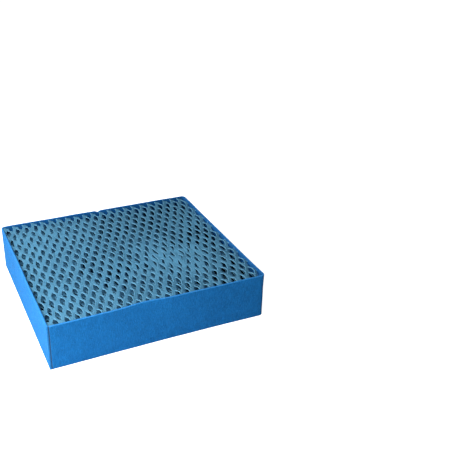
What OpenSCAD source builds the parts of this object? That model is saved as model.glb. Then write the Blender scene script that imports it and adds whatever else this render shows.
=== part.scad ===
// Evaporator wick pad: a stack of stretched paper mesh sheets held in a wrapped felt band.
// The pad lies flat: X runs along its long side, Y across it and Z up through the stack.
// The origin is the centre of the underside.

/* [Pad] */
// Outside length along the long sides
pad_length = 240; // [200:1:280]
// Outside width along the short sides
pad_width = 216; // [180:1:250]
// Height of the felt band, which is the thickness of the pad
pad_height = 52; // [46:1:58]

/* [Felt band] */
// Thickness of the felt strip
felt_thickness = 2.2; // [1.8:0.1:2.8]
// Outside radius of the three corners that the strip is folded round
corner_radius = 5; // [4:0.5:5]
// Gap at the corner where the end of the strip butts against its start
seam_gap = 0.4; // [0.2:0.1:0.8]
// Width of the small notch in the top edge of the back run
notch_width = 7; // [4:0.5:10]
// Depth of that notch
notch_depth = 1.8; // [1:0.2:2.4]

/* [Paper mesh] */
// Distance between cell centres across the slits
cell_pitch_x = 10.75; // [9:0.25:14]
// Distance between cell centres along the slits
cell_pitch_y = 22.7; // [20:0.1:26]
// Width of one strand seen from above
strand_width = 3.2; // [2.4:0.2:4]
// Width of paper left whole round each sheet, inside its cut edge
rim_width = 1; // [0.8:0.1:2]
// How far the sheets stop below the top edge of the band
top_recess = 3; // [2.6:0.2:4]
// How far the sheets stop above the bottom edge of the band
bottom_recess = 2; // [1:0.2:3]

/* [Glue] */
// Thickness of the glue between the cut edges of the sheets and the felt
glue_thickness = 1; // [1:0.1:1.4]
// Height of each glue bead
glue_height = 12; // [8:1:20]
// How far each bead stops short of the corners
glue_end_gap = 14; // [10:1:25]

/* [Hidden] */
SHEETS = 7;

FELT_COLOUR = [0.12, 0.42, 0.78];
PAPER_COLOUR = [0.36, 0.58, 0.72];
GLUE_COLOUR = [0.93, 0.90, 0.78];
// Cells cut down to less than this area by the rim are left as whole paper
MIN_CELL_AREA = 8;
// Extra length that carries a cut past the face it leaves
OVERSHOOT = 1;
// Each sheet is shifted against the one below it by these shares of a cell
SHIFT_X = 0.37;
SHIFT_Y = 0.61;

inside_length = pad_length - 2 * felt_thickness;
inside_width = pad_width - 2 * felt_thickness;
sheet_length = inside_length - 2 * glue_thickness;
sheet_width = inside_width - 2 * glue_thickness;
stack_height = pad_height - top_recess - bottom_recess;
sheet_depth = stack_height / SHEETS;
glue_bottom = bottom_recess + (stack_height - glue_height) / 2;

// Half diagonals of a cell, shrunk so that the strands between cells keep their width
half_pitch = [cell_pitch_x, cell_pitch_y] / 2;
cell_to_edge = half_pitch.x * half_pitch.y / norm(half_pitch);
cell_half = half_pitch * (1 - strand_width / (2 * cell_to_edge));

// ---- felt band ----

// A rectangle centred on the origin with three round corners and a sharp one at front left
module band_outline(length, width, radius) {
    x = length / 2 - radius;
    y = width / 2 - radius;
    difference() {
        square([length, width], center = true);
        for (side = [[1, -1], [1, 1], [-1, 1]])
            translate([side.x * x, side.y * y])
                corner_waste(side, radius);
    }
}

// What is cut off a square corner to leave an arc of the radius
module corner_waste(side, radius) {
    difference() {
        translate([side.x > 0 ? 0 : -radius - OVERSHOOT, side.y > 0 ? 0 : -radius - OVERSHOOT])
            square(radius + OVERSHOOT);
        circle(radius, $fn = 64);
    }
}

// The slot between the start of the strip and its end, at the front left corner
module seam_slot() {
    translate([-inside_length / 2, -pad_width / 2 - OVERSHOOT])
        square([seam_gap, felt_thickness + 2 * OVERSHOOT]);
}

module edge_notch() {
    translate([0, pad_width / 2 + OVERSHOOT, pad_height])
        rotate([90, 0, 0])
            linear_extrude(felt_thickness + 2 * OVERSHOOT)
                polygon([
                    [-notch_width / 2, OVERSHOOT],
                    [-notch_width / 2, 0],
                    [0, -notch_depth],
                    [notch_width / 2, 0],
                    [notch_width / 2, OVERSHOOT]
                ]);
}

module felt_band() {
    color(FELT_COLOUR)
        difference() {
            linear_extrude(pad_height)
                difference() {
                    band_outline(pad_length, pad_width, corner_radius);
                    band_outline(inside_length, inside_width, corner_radius - felt_thickness);
                    seam_slot();
                }
            edge_notch();
        }
}

// ---- paper mesh sheets ----

// The part of a convex outline on the near side of a line, which is where p * normal = limit
function cut_by_line(outline, normal, limit) = [
    for (i = [0 : len(outline) - 1])
        let (
            p = outline[i],
            q = outline[(i + 1) % len(outline)],
            p_in = p * normal <= limit,
            q_in = q * normal <= limit,
            crossing = p_in == q_in ? [] : [p + (q - p) * (limit - p * normal) / ((q - p) * normal)]
        )
        each concat(p_in ? [p] : [], crossing)
];

function cut_if_any(outline, normal, limit) =
    len(outline) < 3 ? [] : cut_by_line(outline, normal, limit);

// A cell outline clipped to the rectangle inside the rim
function clipped_cell(centre, half_x, half_y) =
    let (
        whole = [for (k = [0 : 3]) centre + [cell_half.x * cos(90 * k), cell_half.y * sin(90 * k)]],
        a = cut_if_any(whole, [1, 0], half_x),
        b = cut_if_any(a, [-1, 0], half_x),
        c = cut_if_any(b, [0, 1], half_y)
    )
    cut_if_any(c, [0, -1], half_y);

function outline_area(p) =
    len(p) < 3 ? 0 : abs([for (i = [0 : len(p) - 1]) cross(p[i], p[(i + 1) % len(p)])] * [for (v = p) 0.5]);

// One sheet's cells: rows half a pitch apart, each row shifted by half a cell
module cells(shift) {
    half_x = sheet_length / 2 - rim_width;
    half_y = sheet_width / 2 - rim_width;
    columns = ceil(sheet_length / cell_pitch_x / 2) + 1;
    rows = ceil(sheet_width / cell_pitch_y) + 1;
    for (row = [-rows : rows])
        for (column = [-columns : columns]) {
            stagger = row % 2 == 0 ? 0 : half_pitch.x;
            centre = shift + [column * cell_pitch_x + stagger, row * half_pitch.y];
            cell = clipped_cell(centre, half_x, half_y);
            if (outline_area(cell) > MIN_CELL_AREA)
                polygon(cell);
        }
}

function cell_shift(i) = [
    (SHIFT_X * i - floor(SHIFT_X * i)) * cell_pitch_x,
    (SHIFT_Y * i - floor(SHIFT_Y * i)) * half_pitch.y
];

// Sheets are counted from the bottom of the stack
module wick_sheet(i) {
    color(PAPER_COLOUR)
        translate([0, 0, bottom_recess + (i - 1) * sheet_depth])
            linear_extrude(sheet_depth)
                difference() {
                    square([sheet_length, sheet_width], center = true);
                    cells(cell_shift(i));
                }
}

// ---- glue ----

// A flat bead of glue lying along X, centred, with its outer face on the felt
module glue_bead(length) {
    color(GLUE_COLOUR)
        translate([-length / 2, -glue_thickness, glue_bottom])
            cube([length, glue_thickness, glue_height]);
}

module glue_back() translate([0, inside_width / 2, 0]) glue_bead(inside_length - 2 * glue_end_gap);
module glue_front() rotate([0, 0, 180]) glue_back();
module glue_left() translate([-inside_length / 2, 0, 0]) rotate([0, 0, 90]) glue_bead(inside_width - 2 * glue_end_gap);
module glue_right() rotate([0, 0, 180]) glue_left();

// The glue that fills the butt joint between the two ends of the strip
module seam_glue() {
    color(GLUE_COLOUR)
        translate([-inside_length / 2, -pad_width / 2, 0])
            cube([seam_gap, felt_thickness, pad_height]);
}

felt_band();
seam_glue();
glue_front();
glue_back();
glue_left();
glue_right();
for (i = [1 : SHEETS])
    wick_sheet(i);
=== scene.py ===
import math

import bmesh
import bpy
from mathutils import Matrix, Vector, noise


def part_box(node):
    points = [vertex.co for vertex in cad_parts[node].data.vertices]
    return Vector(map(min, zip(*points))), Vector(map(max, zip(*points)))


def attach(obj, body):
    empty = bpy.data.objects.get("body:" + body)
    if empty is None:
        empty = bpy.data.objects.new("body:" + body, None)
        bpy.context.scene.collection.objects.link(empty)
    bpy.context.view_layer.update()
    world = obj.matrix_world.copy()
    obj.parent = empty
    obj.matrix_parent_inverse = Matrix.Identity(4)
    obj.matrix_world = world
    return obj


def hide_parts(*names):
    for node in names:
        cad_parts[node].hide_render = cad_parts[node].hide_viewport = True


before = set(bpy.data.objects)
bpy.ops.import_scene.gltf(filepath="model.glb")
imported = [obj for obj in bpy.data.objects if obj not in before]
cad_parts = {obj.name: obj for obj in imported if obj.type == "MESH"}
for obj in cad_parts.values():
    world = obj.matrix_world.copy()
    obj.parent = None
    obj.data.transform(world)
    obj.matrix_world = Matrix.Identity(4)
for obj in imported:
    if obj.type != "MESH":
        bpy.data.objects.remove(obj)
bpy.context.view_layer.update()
# The unevenness of the paper is drawn from this seed, so that every run gives the same pad
noise.seed_set(1)

MM = 0.001
SHEETS = sorted(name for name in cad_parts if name.startswith("wick_sheet_"))

# ---- sizes of the real pad, in metres ----

# Needle felt strip
FELT = 2.2 * MM
FELT_BEND = 5.0 * MM
SEAM_GAP = 0.4 * MM
FELT_EDGE = 0.35 * MM
NICK_WIDTH = 7.0 * MM
NICK_DEPTH = 1.8 * MM
# Stretched wick paper: strand width, paper thickness, cell pitches across and along the slits,
# and the share of a cell that is left uncut as a bond between two strands
STRAND = 3.25 * MM
PAPER = 0.7 * MM
PITCH_X = 10.75 * MM
PITCH_Y = 22.7 * MM
BOND_SHARE = 4 / 18
# Angle that the paper of a strand stands at above the plane of its sheet, and how much it varies
PAPER_TILT = math.radians(20)
TILT_UNEVEN = math.radians(9)
# Where the mesh starts, measured from a corner of the sheet, and how far deeper layers wander from that
REGISTER_X = 2.6 * MM
REGISTER_Y = 4.0 * MM
DRIFT_X = 1.0 * MM
DRIFT_Y = 1.5 * MM
# Sheets whose bottom is more sheets than this below the top are also shifted across the slits, each by this
# share of a cell more than the one above it, less any whole cells
FIRST_SHIFTED = 2.5
SHIFT_SHARE = 0.37
# Heights of the two layers of one folded sheet, from its bottom 0 to its top 1, and the lower one's slip
PLY_LEVELS = (0.15, 0.85)
SLIP_X = 1.0 * MM
SLIP_Y = -2.6 * MM
# Slow unevenness of a sheet: reach and size of its far and near parts, across, along and up, and of the
# part of its height that all sheets share
FAR_REACH = 60 * MM
FAR_CREEP = (1.5 * MM, 1.6 * MM)
NEAR_REACH = 22 * MM
NEAR_CREEP = (0.8 * MM, 0.9 * MM, 0.3 * MM)
HEIGHT_REACH = 55 * MM
HEIGHT_CREEP = 0.8 * MM
# Reach of the patches that differ in tilt
TILT_REACH = 18 * MM
# Reach of the patches that rubbing drags, how far it drags them across, along and up where the pad is
# crushed, and the share of that elsewhere
RUB_REACH = (7 * MM, 9 * MM)
RUB_DRAG = (2.4 * MM, 2.8 * MM, 0.7 * MM)
RUB_ANYWHERE = 0.25
# How far the cut edges of the sheets reach into the glue
GLUE_BITE = 0.8 * MM
# Areas that have been pressed down and rubbed: middle and reach in millimetres, and how much
CRUSHED = (((48, -30), (56, 42), 1.0), ((-72, 62), (44, 34), 0.55), ((100, 40), (30, 60), 0.5))
# How far the strands lie down there, and the share by which they are flattened wider
LIE_DOWN = math.radians(12)
FLATTENED = 0.38
# How far the sheets swell up along the right and back edges, where it starts and over how long it rises
SWELL = 1.8 * MM
SWELL_START = 60 * MM
SWELL_RIGHT = 50 * MM
SWELL_BACK = 40 * MM

# Felt band: how far its top edge ripples and its faces bulge and dimple, and the reach of each along it
RIPPLE = 0.45 * MM
RIPPLE_REACH = 34 * MM
BULGE = 0.22 * MM
BULGE_REACH = 50 * MM
DIMPLE = 0.10 * MM
DIMPLE_REACH = 11 * MM
# How far the crooked pad leans, in millimetres: back right corner, then top and foot of the front right one
BACK_RIGHT_LEAN = Vector((-1.8, -2.0, 0))
FRONT_RIGHT_LEAN = Vector((0.7, -0.9, 0))
FRONT_RIGHT_FOOT = Vector((1.2, -2.8, 0))
# Dent in the front rim and flare of the front right corner: how far each moves the felt in millimetres
RIM_DENT = Vector((0, 1.8, 0.9))
CORNER_FLARE = Vector((0.5, -0.7, 0.3))
# Middle and reach of the dent along the rim, its reach back from the front face, and the reach of the flare
DENT_X = -20 * MM
DENT_REACH = 24 * MM
DENT_BACK = 18 * MM
FLARE_REACH = 16 * MM
# Rows of the grid that the strip starts as, from its bottom edge to its top edge
BAND_ROWS = 26

# Camera: sensor and focal length in millimetres, place, and the way that it faces
SENSOR = 36
LENS = 55.0513
CAMERA_PLACE = Vector((-225.4, -652.3, 459.1)) * MM
HEADING = math.radians(28.406)
LOOK_DOWN = math.radians(28.464)
ROLL = math.radians(-3.003)
# Studio: strength of the room's light and of the floor's glow, then size, aim, place and power of softboxes
ROOM_LIGHT = 0.07
FLOOR_GLOW = 1.0
SOFTBOX = 0.3
AIM = (0, 0, 0.02)
KEY_PLACE = (-0.30, -0.16, 0.34)
KEY_POWER = 3.0
SIDE_PLACE = (-0.45, 0.45, 0.60)
SIDE_POWER = 3.4

band_low, band_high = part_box("felt_band")
PAD_LENGTH = band_high.x - band_low.x
PAD_WIDTH = band_high.y - band_low.y
PAD_HEIGHT = band_high.z - band_low.z


# ---- camera ----

def camera_to_pad():
    """The camera stands in front of the pad, a little to its left, and looks past it to the right."""
    data = bpy.data.cameras.new("camera")
    camera = bpy.data.objects.new("camera", data)
    bpy.context.scene.collection.objects.link(camera)
    data.sensor_width = SENSOR
    data.lens = LENS
    data.clip_start = 0.01
    data.clip_end = 20
    camera.location = CAMERA_PLACE
    level = Vector((math.sin(HEADING), math.cos(HEADING), 0))
    forward = level * math.cos(LOOK_DOWN) - Vector((0, 0, math.sin(LOOK_DOWN)))
    right = Vector((math.cos(HEADING), -math.sin(HEADING), 0))
    down = forward.cross(right)
    side = right * math.cos(ROLL) + down * math.sin(ROLL)
    up = right * math.sin(ROLL) - down * math.cos(ROLL)
    turned = Matrix((side, up, -forward)).transposed().to_4x4()
    camera.matrix_world = Matrix.Translation(camera.location) @ turned
    bpy.context.scene.camera = camera


# ---- small helpers ----

def piece_from(bm, name, material, smooth_angle=35):
    mesh = bpy.data.meshes.new(name)
    bm.to_mesh(mesh)
    bm.free()
    mesh.materials.append(material)
    mesh.shade_smooth()
    mesh.set_sharp_from_angle(angle=math.radians(smooth_angle))
    piece = bpy.data.objects.new(name, mesh)
    bpy.context.scene.collection.objects.link(piece)
    return piece


def eased(t):
    t = min(max(t, 0.0), 1.0)
    return t * t * (3 - 2 * t)


def hill(x, centre, width):
    return math.exp(-((x - centre) / width) ** 2)


# ---- the pad's small departures from square ----

def settle(place):
    """How far a place on the slightly crooked pad lies from where it would be on a square one, in metres."""
    right = min(max((place.x - band_low.x) / PAD_LENGTH, 0), 1)
    back = min(max((place.y - band_low.y) / PAD_WIDTH, 0), 1)
    up = min(max(place.z / PAD_HEIGHT, 0), 1)
    crooked = BACK_RIGHT_LEAN * right * back
    crooked += FRONT_RIGHT_LEAN * right ** 3 * (1 - back) * up
    crooked += FRONT_RIGHT_FOOT * right ** 3 * (1 - back) * (1 - up)
    near_front = eased(1 - (place.y - band_low.y) / DENT_BACK)
    dent = hill(place.x, DENT_X, DENT_REACH) * near_front * up ** 3
    flare = hill(place.x, band_high.x, FLARE_REACH) * hill(place.y, band_low.y, FLARE_REACH) * up ** 3
    return (crooked + RIM_DENT * dent + CORNER_FLARE * flare) * MM


# ---- materials ----

# Colours, as linear red, green and blue
FELT_SHADE = (0.0065, 0.148, 0.478)
FELT_BLUE = (0.0115, 0.222, 0.650)
FELT_HAIR = (0.0210, 0.295, 0.770)
# Painted highlight along the felt's cut edges
FELT_EDGE_HIGHLIGHT = (0.040, 0.270, 0.680)
# Painted shade for the inner face of the band
FELT_INNER_SHADE = (0.003, 0.050, 0.170)
FELT_SHEEN = (0.35, 0.65, 1.0)
# Painted shade in the felt's needle holes, darker and paler
HOLE_SHADE = (0.0038, 0.102, 0.345)
HOLE_SHADE_PALE = (0.0060, 0.141, 0.450)
PAPER_SHADE = (0.045, 0.203, 0.363)
PAPER_BLUE = (0.067, 0.245, 0.407)
PAPER_CLOUD = (0.084, 0.285, 0.456)
PAPER_HAIR = (0.116, 0.332, 0.510)
# Painted highlight along the paper's cut edges
PAPER_EDGE_HIGHLIGHT = (0.135, 0.362, 0.545)
# Painted shade for the paper inside the stack
PAPER_STACK_SHADE = (0.012, 0.080, 0.165)
GLUE_SHADE = (0.006, 0.050, 0.150)
GLUE_BLUE = (0.030, 0.130, 0.300)
# Painted shade inside the stack: the paper is darkest within the first distance of the pad's middle height
# and pale beyond the second, and at its darkest has this share of the painted shade colour
DARK_WITHIN = 14 * MM
PALE_BEYOND = 21 * MM
DARKENING = 0.60


def new_material(name):
    material = bpy.data.materials.new(name)
    material.use_nodes = True
    tree = material.node_tree
    tree.nodes.clear()
    shader = tree.nodes.new("ShaderNodeBsdfPrincipled")
    output = tree.nodes.new("ShaderNodeOutputMaterial")
    tree.links.new(shader.outputs["BSDF"], output.inputs["Surface"])
    return material, tree, shader


def node_of(tree, kind, links=None, **settings):
    """A shader node with its settings, its inputs taking either a value or another node's output."""
    node = tree.nodes.new(kind)
    for key, value in settings.items():
        setattr(node, key, value)
    for name, value in (links or {}).items():
        socket = node.inputs[name]
        if isinstance(value, bpy.types.NodeSocket):
            tree.links.new(value, socket)
        else:
            socket.default_value = value
    return node


def new_group(name, takes, gives):
    tree = bpy.data.node_groups.new(name, "ShaderNodeTree")
    for label, kind in takes:
        tree.interface.new_socket(label, in_out="INPUT", socket_type=kind)
    for label, kind in gives:
        tree.interface.new_socket(label, in_out="OUTPUT", socket_type=kind)
    return tree, tree.nodes.new("NodeGroupInput"), tree.nodes.new("NodeGroupOutput")


def fibre_group():
    """Fibres lying in several directions, and the cloudiness of the mat that they make."""
    tree, takes, gives = new_group(
        "matted_fibres",
        (("Place", "NodeSocketVector"), ("Grain", "NodeSocketFloat"), ("Length", "NodeSocketVector")),
        (("Fibres", "NodeSocketFloat"), ("Clouds", "NodeSocketFloat")))
    streaks = []
    for turn in ((0.5, 0.3, 0.0), (-0.7, 0.2, 0.9), (0.2, -0.9, -0.6)):
        turned = node_of(tree, "ShaderNodeMapping", {
            "Vector": takes.outputs["Place"], "Rotation": turn, "Scale": takes.outputs["Length"]})
        streaks.append(node_of(tree, "ShaderNodeTexNoise", {
            "Vector": turned.outputs["Vector"], "Scale": takes.outputs["Grain"],
            "Detail": 3.0, "Roughness": 0.6, "Distortion": 0.4}))
    first = node_of(tree, "ShaderNodeMath", {0: streaks[0].outputs["Fac"], 1: streaks[1].outputs["Fac"]},
                    operation="MAXIMUM")
    both = node_of(tree, "ShaderNodeMath", {0: first.outputs[0], 1: streaks[2].outputs["Fac"]},
                   operation="MAXIMUM")
    spread = node_of(tree, "ShaderNodeMapRange", {
        "Value": both.outputs[0], "From Min": 0.48, "From Max": 0.74})
    coarse = node_of(tree, "ShaderNodeMath", {0: takes.outputs["Grain"], 1: 0.12}, operation="MULTIPLY")
    clouds = node_of(tree, "ShaderNodeTexNoise", {
        "Vector": takes.outputs["Place"], "Scale": coarse.outputs[0], "Detail": 4.0, "Roughness": 0.65})
    even = node_of(tree, "ShaderNodeMapRange", {
        "Value": clouds.outputs["Fac"], "From Min": 0.3, "From Max": 0.7})
    tree.links.new(spread.outputs["Result"], gives.inputs["Fibres"])
    tree.links.new(even.outputs["Result"], gives.inputs["Clouds"])
    return tree


def cut_edge_group():
    """How near a place is to a cut edge, broken up a little, from 0 to 1, for the painted highlight along the
    edges.
    """
    tree, takes, gives = new_group(
        "cut_edges", (("Place", "NodeSocketVector"), ("Width", "NodeSocketFloat")),
        (("Edge", "NodeSocketFloat"),))
    rim = node_of(tree, "ShaderNodeAttribute", attribute_name="cut_edge")
    start = node_of(tree, "ShaderNodeMath", {0: 1.0, 1: takes.outputs["Width"]}, operation="SUBTRACT")
    near = node_of(tree, "ShaderNodeMapRange", {
        "Value": rim.outputs["Fac"], "From Min": start.outputs[0], "From Max": 1.0})
    breaks = node_of(tree, "ShaderNodeTexNoise", {
        "Vector": takes.outputs["Place"], "Scale": 420.0, "Detail": 2.0})
    strength = node_of(tree, "ShaderNodeMapRange", {
        "Value": breaks.outputs["Fac"], "From Min": 0.35, "From Max": 0.6, "To Min": 0.45, "To Max": 1.0})
    edge = node_of(tree, "ShaderNodeMath", {0: near.outputs["Result"], 1: strength.outputs["Result"]},
                   operation="MULTIPLY")
    tree.links.new(edge.outputs[0], gives.inputs["Edge"])
    return tree


def mixed(tree, factor, under, over):
    """A colour that goes from under to over with the factor. Each is a colour or another node's output."""
    mix = node_of(tree, "ShaderNodeMix", data_type="RGBA")
    tree.links.new(factor, mix.inputs[0])
    for place, colour in ((6, under), (7, over)):
        if isinstance(colour, bpy.types.NodeSocket):
            tree.links.new(colour, mix.inputs[place])
        else:
            mix.inputs[place].default_value = (*colour, 1.0)
    return mix.outputs[2]


def surface_bump(tree, shader, height, depth, strength):
    bump = node_of(tree, "ShaderNodeBump", {"Height": height, "Distance": depth, "Strength": strength})
    tree.links.new(bump.outputs["Normal"], shader.inputs["Normal"])


def felt_material(fibres, edges):
    """Needle-punched polyester felt, dyed mid blue, with painted shade darkening the inner face of the band.
    """
    material, tree, shader = new_material("needle_felt")
    place = tree.nodes.new("ShaderNodeTexCoord").outputs["Object"]
    mat = node_of(tree, "ShaderNodeGroup", {
        "Place": place, "Grain": 1500.0, "Length": (1.0, 1.0, 0.18)}, node_tree=fibres)
    rim = node_of(tree, "ShaderNodeGroup", {"Place": place, "Width": 0.35}, node_tree=edges)
    # Painted shade in the needle holes of the felt
    needles = node_of(tree, "ShaderNodeTexVoronoi", {"Vector": place, "Scale": 620.0, "Randomness": 0.9})
    hole = node_of(tree, "ShaderNodeMapRange", {
        "Value": needles.outputs["Distance"], "From Min": 0.10, "From Max": 0.32})
    cloudy = mixed(tree, mat.outputs["Clouds"], FELT_SHADE, FELT_BLUE)
    hairy = mixed(tree, mat.outputs["Fibres"], cloudy, FELT_HAIR)
    needle_hole_shade = mixed(tree, mat.outputs["Clouds"], HOLE_SHADE, HOLE_SHADE_PALE)
    punched = mixed(tree, hole.outputs["Result"], needle_hole_shade, hairy)
    # Painted highlight along the felt's cut edges
    edge_lit = mixed(tree, rim.outputs["Edge"], punched, FELT_EDGE_HIGHLIGHT)
    # Painted shade: the inner face of the band is darkened towards this colour
    inner = node_of(tree, "ShaderNodeAttribute", attribute_name="inner_face_shade")
    inner_shade = node_of(tree, "ShaderNodeMapRange", {
        "Value": inner.outputs["Fac"], "From Min": 0.45, "To Max": 0.7})
    darkened = mixed(tree, inner_shade.outputs["Result"], edge_lit, FELT_INNER_SHADE)
    tree.links.new(darkened, shader.inputs["Base Color"])
    dull = node_of(tree, "ShaderNodeMapRange", {
        "Value": mat.outputs["Fibres"], "To Min": 0.98, "To Max": 0.80})
    tree.links.new(dull.outputs["Result"], shader.inputs["Roughness"])
    shader.inputs["Specular IOR Level"].default_value = 0.12
    shader.inputs["Sheen Weight"].default_value = 0.06
    shader.inputs["Sheen Roughness"].default_value = 0.45
    shader.inputs["Sheen Tint"].default_value = (*FELT_SHEEN, 1.0)
    pile = node_of(tree, "ShaderNodeMath", {0: mat.outputs["Fibres"], 1: hole.outputs["Result"]},
                   operation="MULTIPLY")
    lumps = node_of(tree, "ShaderNodeMath", {0: mat.outputs["Clouds"], 1: 0.8, 2: pile.outputs[0]},
                    operation="MULTIPLY_ADD")
    surface_bump(tree, shader, lumps.outputs[0], 0.00045, 0.7)
    return material


def paper_material(fibres, edges):
    """Soft wicking paper, blue-grey, with a painted highlight along its cut edges and painted shade inside
    the stack.
    """
    material, tree, shader = new_material("wick_paper")
    place = tree.nodes.new("ShaderNodeTexCoord").outputs["Object"]
    pulp = node_of(tree, "ShaderNodeGroup", {
        "Place": place, "Grain": 1100.0, "Length": (1.0, 0.22, 1.0)}, node_tree=fibres)
    rim = node_of(tree, "ShaderNodeGroup", {"Place": place, "Width": 0.22}, node_tree=edges)
    dye = node_of(tree, "ShaderNodeTexNoise", {
        "Vector": place, "Scale": 26.0, "Detail": 3.0, "Roughness": 0.6})
    uneven = node_of(tree, "ShaderNodeMapRange", {
        "Value": dye.outputs["Fac"], "From Min": 0.35, "From Max": 0.66})
    dyed = mixed(tree, uneven.outputs["Result"], PAPER_SHADE, PAPER_BLUE)
    cloudy = mixed(tree, pulp.outputs["Clouds"], dyed, PAPER_CLOUD)
    hairy = mixed(tree, pulp.outputs["Fibres"], cloudy, PAPER_HAIR)
    # Painted highlight along the strands' cut edges
    edge_lit = mixed(tree, rim.outputs["Edge"], hairy, PAPER_EDGE_HIGHLIGHT)
    # Painted shade: the paper darkens towards the middle height of the stack
    height = node_of(tree, "ShaderNodeSeparateXYZ", {"Vector": place})
    above = node_of(tree, "ShaderNodeMath", {0: height.outputs["Z"], 1: PAD_HEIGHT / 2},
                    operation="SUBTRACT")
    from_middle = node_of(tree, "ShaderNodeMath", {0: above.outputs[0]}, operation="ABSOLUTE")
    inside = node_of(tree, "ShaderNodeMapRange", {
        "Value": from_middle.outputs[0], "From Min": DARK_WITHIN, "From Max": PALE_BEYOND,
        "To Min": DARKENING, "To Max": 0.0})
    stack_shaded = mixed(tree, inside.outputs["Result"], edge_lit, PAPER_STACK_SHADE)
    tree.links.new(stack_shaded, shader.inputs["Base Color"])
    dull = node_of(tree, "ShaderNodeMapRange", {
        "Value": pulp.outputs["Clouds"], "To Min": 0.95, "To Max": 0.78})
    tree.links.new(dull.outputs["Result"], shader.inputs["Roughness"])
    shader.inputs["Specular IOR Level"].default_value = 0.3
    crepe = node_of(tree, "ShaderNodeTexWave", {
        "Vector": place, "Scale": 190.0, "Distortion": 5.0, "Detail": 2.0, "Detail Scale": 2.0},
        bands_direction="Y")
    ridges = node_of(tree, "ShaderNodeMath", {
        0: crepe.outputs["Fac"], 1: 0.45, 2: pulp.outputs["Fibres"]}, operation="MULTIPLY_ADD")
    surface_bump(tree, shader, ridges.outputs[0], 0.00022, 0.6)
    return material


def glue_material():
    """Clear hot-melt glue, which takes its colour from the felt and paper that it has soaked into."""
    material, tree, shader = new_material("hot_melt_glue")
    place = tree.nodes.new("ShaderNodeTexCoord").outputs["Object"]
    flow = node_of(tree, "ShaderNodeTexNoise", {
        "Vector": place, "Scale": 180.0, "Detail": 3.0, "Distortion": 1.2})
    bubbles = node_of(tree, "ShaderNodeTexVoronoi", {"Vector": place, "Scale": 900.0})
    tone = mixed(tree, flow.outputs["Fac"], GLUE_SHADE, GLUE_BLUE)
    tree.links.new(tone, shader.inputs["Base Color"])
    gloss = node_of(tree, "ShaderNodeMapRange", {
        "Value": flow.outputs["Fac"], "To Min": 0.22, "To Max": 0.5})
    tree.links.new(gloss.outputs["Result"], shader.inputs["Roughness"])
    skin = node_of(tree, "ShaderNodeMath", {
        0: bubbles.outputs["Distance"], 1: 0.3, 2: flow.outputs["Fac"]}, operation="MULTIPLY_ADD")
    surface_bump(tree, shader, skin.outputs[0], 0.0004, 0.5)
    return material


# ---- wick sheets ----

# On the flat sheet, corners closer to a line than this lie on it
ON_LINE = 1e-4
# Seeds of the noise are ten apart from layer to layer, and what is added to one keeps its uses apart
SEED_STEP = 10.0
# Steps across a strand and along a cell: top layer, then the one below it and the lowest, then the rest
FINEST = (3, 18)
FINE = (2, 18)
COARSE = (1, 12)


def slit_paper(strands, cells, across, along):
    """A flat sheet with its slits cut. One unit is a strand across and a cell along."""
    bm = bmesh.new()
    bmesh.ops.create_grid(bm, x_segments=strands * across, y_segments=cells * along, size=0.5)
    bmesh.ops.translate(bm, verts=bm.verts, vec=(0.5, 0.5, 0))
    bmesh.ops.scale(bm, verts=bm.verts, vec=(strands, cells, 1))
    slits = []
    for edge in bm.edges:
        a, b = edge.verts[0].co, edge.verts[1].co
        line = round(a.x)
        if abs(a.x - line) > ON_LINE or abs(b.x - line) > ON_LINE or not 0 < line < strands:
            continue
        phase = (a.y + b.y) / 2 + 0.5 * (line % 2)
        if abs(phase - round(phase)) > BOND_SHARE / 2:
            slits.append(edge)
    bmesh.ops.split_edges(bm, edges=slits)
    return bm


def strand_of(vert):
    """The strand that a corner belongs to, or None where it lies in a bond between two."""
    line = round(vert.co.x)
    if abs(vert.co.x - line) > ON_LINE:
        return math.floor(vert.co.x)
    sides = {face.calc_center_median().x > line for face in vert.link_faces}
    if len(sides) > 1:
        return None
    return line if sides.pop() else line - 1


def creep(x, y, seed):
    """Slow unevenness of a soft sheet: how far a place has moved, in metres. Most of the height is shared."""
    far = noise.noise_vector(Vector((x / FAR_REACH, y / FAR_REACH, seed)))
    near = noise.noise_vector(Vector((x / NEAR_REACH, y / NEAR_REACH, seed + 40)))
    height = noise.noise(Vector((x / HEIGHT_REACH, y / HEIGHT_REACH, 7.0)))
    across = FAR_CREEP[0] * far.x + NEAR_CREEP[0] * near.x
    along = FAR_CREEP[1] * far.y + NEAR_CREEP[1] * near.y
    up = HEIGHT_CREEP * height + NEAR_CREEP[2] * near.z
    return Vector((across, along, up))


def crushed(x, y):
    """How much a place has been pressed down and rubbed, from 0 to 1."""
    return max(
        share * hill(x, middle[0] * MM, reach[0] * MM) * hill(y, middle[1] * MM, reach[1] * MM)
        for middle, reach, share in CRUSHED)


def swell(place):
    """How far a place in the stack stands above a flat one, in metres."""
    to_right = eased((place.x - SWELL_START) / SWELL_RIGHT)
    to_back = eased((place.y - SWELL_START) / SWELL_BACK)
    return SWELL * max(to_right, to_back) * (place.z / PAD_HEIGHT) ** 3


def rub(x, y, seed):
    """How far rubbing has dragged the loose strands at a place, in metres."""
    drag = noise.noise_vector(Vector((x / RUB_REACH[0], y / RUB_REACH[1], seed + 120)))
    return Vector(RUB_DRAG) * drag * (RUB_ANYWHERE + crushed(x, y))


def strand_tilt(x, y, seed):
    """Angle of the paper above the plane of its sheet, smaller where the sheet has been crushed."""
    uneven = TILT_UNEVEN * noise.noise(Vector((x / TILT_REACH, y / TILT_REACH, seed + 80)))
    return PAPER_TILT - LIE_DOWN * crushed(x, y) + uneven


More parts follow.
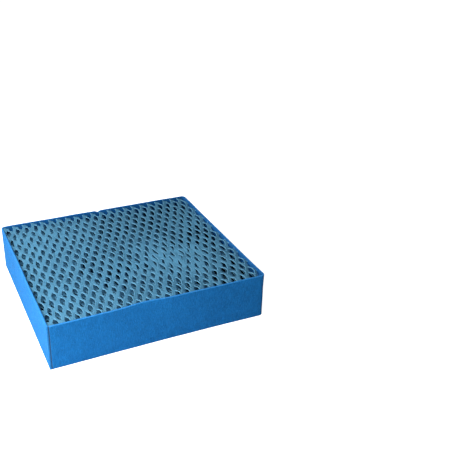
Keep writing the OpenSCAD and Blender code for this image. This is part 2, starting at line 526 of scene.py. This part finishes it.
def stretch(bm, origin, seed):
    """Pulls the slit sheet open: each strand swings from the bond on its left to the one on its right."""
    sides = [strand_of(vert) for vert in bm.verts]
    # Nearness to the strands' cut edges, where the paper gets a painted highlight
    rim = bm.verts.layers.float.new("cut_edge")
    half_bond = BOND_SHARE / 2
    for vert, strand in zip(bm.verts, sides):
        u, y = vert.co.x, vert.co.y
        vert[rim] = 0.0 if strand is None else 2 * abs(u - strand - 0.5)
        if strand is None:
            strand = math.floor(u + ON_LINE)
        across = u - strand
        phase = y + 0.5 * (strand % 2)
        away = abs(phase - round(phase))
        t = min(max((away - half_bond) / (0.5 - 2 * half_bond), 0), 1)
        swing = 0.7 * t + 0.3 * eased(t)
        x_mid = (strand + 0.5) * PITCH_X / 2 + origin.x
        y_mid = y * PITCH_Y + origin.y
        tilt = strand_tilt(x_mid, y_mid, seed)
        width = STRAND * (1 + FLATTENED * crushed(x_mid, y_mid))
        over = Vector((math.cos(tilt), 0, -math.sin(tilt))) * width
        left = Vector((strand * PITCH_X / 2, 0, 0)) + over / 2
        right = Vector(((strand + 1) * PITCH_X / 2, 0, 0)) - over / 2
        place = left.lerp(right, swing) + over * (across - 0.5)
        place += Vector((origin.x, y_mid, origin.z))
        vert.co = place + creep(place.x, place.y, seed) + rub(place.x, place.y, seed)


def trim(bm, low, high):
    """Cuts the sheet to its rectangle and drops the scraps that come loose."""
    for corner, axis in ((low, Vector((-1, 0, 0))), (low, Vector((0, -1, 0))),
                         (high, Vector((1, 0, 0))), (high, Vector((0, 1, 0)))):
        bmesh.ops.bisect_plane(
            bm, geom=bm.verts[:] + bm.edges[:] + bm.faces[:], dist=1e-6,
            plane_co=corner, plane_no=axis, clear_outer=True)
    bm.faces.ensure_lookup_table()
    seen = set()
    islands = []
    for face in bm.faces:
        if face in seen:
            continue
        island = [face]
        seen.add(face)
        for member in island:
            for edge in member.edges:
                for other in edge.link_faces:
                    if other not in seen:
                        seen.add(other)
                        island.append(other)
        islands.append(island)
    largest = max(islands, key=len)
    scraps = [face for island in islands if island is not largest for face in island]
    bmesh.ops.delete(bm, geom=scraps, context="FACES")


def ply(node, name, level, fineness, seed, paper):
    """One layer of stretched paper in the space of a sheet, at a level from its bottom 0 to its top 1.

    It is made with two cells to spare on the left and one at the front and back, then trimmed.
    """
    low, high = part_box(node)
    across, along = fineness
    strands = math.ceil((high.x - low.x) / (PITCH_X / 2)) + 4
    cells = math.ceil((high.y - low.y) / PITCH_Y) + 2
    spot = noise.noise_vector(Vector((seed * 1.7, 3.1, 5.3)))
    depth = (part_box(SHEETS[-1])[1].z - low.z) / (high.z - low.z)
    drift = Vector((REGISTER_X, REGISTER_Y, 0))
    drift += Vector((DRIFT_X * spot.x, DRIFT_Y * spot.y, 0)) * depth * depth / len(SHEETS)
    if depth > FIRST_SHIFTED:
        drift.x += PITCH_X * (SHIFT_SHARE * round(depth) % 1)
    if level < 0.5:
        drift += Vector((SLIP_X, SLIP_Y, 0))
    origin = Vector((low.x - 2 * PITCH_X, low.y - PITCH_Y, low.z + (high.z - low.z) * level)) + drift
    bm = slit_paper(strands, cells, across, along)
    stretch(bm, origin, seed)
    bite = Vector((GLUE_BITE, GLUE_BITE, 0))
    trim(bm, low - bite, high + bite)
    for vert in bm.verts:
        vert.co.z += swell(vert.co)
        vert.co += settle(vert.co)
    bmesh.ops.recalc_face_normals(bm, faces=bm.faces)
    bmesh.ops.solidify(bm, geom=bm.faces[:], thickness=PAPER)
    piece = piece_from(bm, name, paper, 50)
    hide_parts(node)
    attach(piece, "root")


def wick_sheets(paper):
    last = len(PLY_LEVELS) * len(SHEETS) - 1
    for number, node in enumerate(SHEETS):
        for half, level in enumerate(PLY_LEVELS):
            order = len(PLY_LEVELS) * number + half
            top = order == last
            shown = order in (0, last - 1)
            fineness = FINEST if top else FINE if shown else COARSE
            name = "stretched_" + node + ("", "_upper")[half]
            ply(node, name, level, fineness, SEED_STEP * order, paper)


# ---- felt band ----

def band_runs():
    """Length of each straight run and bend of the strip, with its number of columns, front run first."""
    bend = (math.pi / 2 * FELT_BEND, 8)
    return [
        (PAD_LENGTH - FELT_BEND - FELT - SEAM_GAP, 116), bend,
        (PAD_WIDTH - 2 * FELT_BEND, 104), bend,
        (PAD_LENGTH - 2 * FELT_BEND, 116), bend,
        (PAD_WIDTH - FELT_BEND, 106),
    ]


def band_columns():
    """Place, heading and distance walked from the seam at each column of the strip's outer face."""
    place = Vector((band_low.x + FELT + SEAM_GAP, band_low.y, 0))
    heading, walked = 0.0, 0.0
    columns = [(place.copy(), heading, walked)]
    for index, (length, steps) in enumerate(band_runs()):
        turn = math.pi / 4 / steps if index % 2 else 0.0
        stride = 2 * FELT_BEND * math.sin(turn) if index % 2 else length / steps
        for _ in range(steps):
            heading += turn
            place += Vector((math.cos(heading), math.sin(heading), 0)) * stride
            heading += turn
            walked += stride
            columns.append((place.copy(), heading, walked))
    return columns


def nick(place):
    """Depth of the small V cut in the top edge of the back run."""
    if place.y < band_high.y - MM:
        return 0.0
    return max(0.0, NICK_DEPTH * (1 - abs(place.x) / (NICK_WIDTH / 2)))


def felt_band(felt):
    columns = band_columns()
    steps = len(columns) - 1
    strip = columns[-1][2]
    bm = bmesh.new()
    bmesh.ops.create_grid(bm, x_segments=steps, y_segments=BAND_ROWS, size=0.5)
    bmesh.ops.translate(bm, verts=bm.verts, vec=(0.5, 0.5, 0))
    rim = bm.verts.layers.float.new("cut_edge")
    for vert in bm.verts:
        share = vert.co.y
        place, heading, walked = columns[round(vert.co.x * steps)]
        outward = Vector((math.sin(heading), -math.cos(heading), 0))
        # The strip's cut edges get a painted highlight in the felt material
        vert[rim] = 1.0 if min(share, 1 - share) < 0.01 or walked in (0.0, strip) else 0.0
        ripple = RIPPLE * noise.noise(Vector((walked / RIPPLE_REACH, 2.0, 0)))
        top = PAD_HEIGHT + ripple - nick(place)
        bulge = noise.noise(Vector((walked / BULGE_REACH, share * 1.1, 5.0)))
        dimple = noise.noise(Vector((walked / DIMPLE_REACH, share * 5, 9.0)))
        vert.co = place + outward * (BULGE * bulge + DIMPLE * dimple) + Vector((0, 0, share * top))
        vert.co += settle(vert.co)
    bmesh.ops.recalc_face_normals(bm, faces=bm.faces)
    centre = Vector((0, 0, PAD_HEIGHT / 2))
    first = bm.faces[:][0]
    if first.normal.dot(first.calc_center_median() - centre) < 0:
        bmesh.ops.reverse_faces(bm, faces=bm.faces)
    # Marks the inner face, which the felt material darkens with painted shade
    inner_shade = bm.verts.layers.float.new("inner_face_shade")
    outside = set(bm.verts)
    bmesh.ops.solidify(bm, geom=bm.faces[:], thickness=FELT)
    for vert in bm.verts:
        vert[inner_shade] = 0.0 if vert in outside else 1.0
    bm.normal_update()
    corners = [edge for edge in bm.edges if edge.calc_face_angle(0) > math.radians(60)]
    bmesh.ops.bevel(
        bm, geom=corners, affect="EDGES", offset=FELT_EDGE, segments=2, profile=0.5, material=-1)
    piece = piece_from(bm, "wrapped_felt_band", felt, 70)
    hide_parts("felt_band")
    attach(piece, "root")


# ---- glue ----

def glue_beads(glue):
    """The beads keep the shapes that they have in the frame and only take the glue's material."""
    for name in ("seam_glue", "glue_front", "glue_back", "glue_left", "glue_right"):
        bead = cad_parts[name]
        bead.data.materials.clear()
        bead.data.materials.append(glue)


# ---- studio ----

def white_surroundings():
    world = bpy.data.worlds.new("studio")
    bpy.context.scene.world = world
    world.use_nodes = True
    tree = world.node_tree
    tree.nodes.clear()
    seen = node_of(tree, "ShaderNodeBackground", {"Color": (1, 1, 1, 1), "Strength": 1.0})
    lit = node_of(tree, "ShaderNodeBackground", {"Color": (1, 1, 1, 1), "Strength": ROOM_LIGHT})
    ray = tree.nodes.new("ShaderNodeLightPath")
    mix = tree.nodes.new("ShaderNodeMixShader")
    output = tree.nodes.new("ShaderNodeOutputWorld")
    tree.links.new(ray.outputs["Is Camera Ray"], mix.inputs[0])
    tree.links.new(lit.outputs[0], mix.inputs[1])
    tree.links.new(seen.outputs[0], mix.inputs[2])
    tree.links.new(mix.outputs[0], output.inputs["Surface"])


def pale_floor():
    bm = bmesh.new()
    bmesh.ops.create_grid(bm, x_segments=1, y_segments=1, size=4)
    material, tree, shader = new_material("pale_floor")
    shader.inputs["Base Color"].default_value = (0.82, 0.82, 0.82, 1)
    shader.inputs["Roughness"].default_value = 0.9
    shader.inputs["Emission Color"].default_value = (1, 1, 1, 1)
    ray = tree.nodes.new("ShaderNodeLightPath")
    glow = node_of(tree, "ShaderNodeMath", {0: ray.outputs["Is Camera Ray"], 1: FLOOR_GLOW},
                   operation="MULTIPLY")
    tree.links.new(glow.outputs[0], shader.inputs["Emission Strength"])
    floor = piece_from(bm, "floor", material)


def softbox(name, place, power):
    data = bpy.data.lights.new(name, "AREA")
    data.energy = power
    data.size = SOFTBOX
    lamp = bpy.data.objects.new(name, data)
    bpy.context.scene.collection.objects.link(lamp)
    lamp.location = place
    lamp.rotation_euler = (Vector(AIM) - Vector(place)).to_track_quat("-Z", "Y").to_euler()


def studio():
    bpy.context.scene.view_settings.view_transform = "Standard"
    white_surroundings()
    pale_floor()
    softbox("key_light", KEY_PLACE, KEY_POWER)
    softbox("side_light", SIDE_PLACE, SIDE_POWER)


camera_to_pad()
fibres = fibre_group()
edges = cut_edge_group()
wick_sheets(paper_material(fibres, edges))
felt_band(felt_material(fibres, edges))
glue_beads(glue_material())
studio()
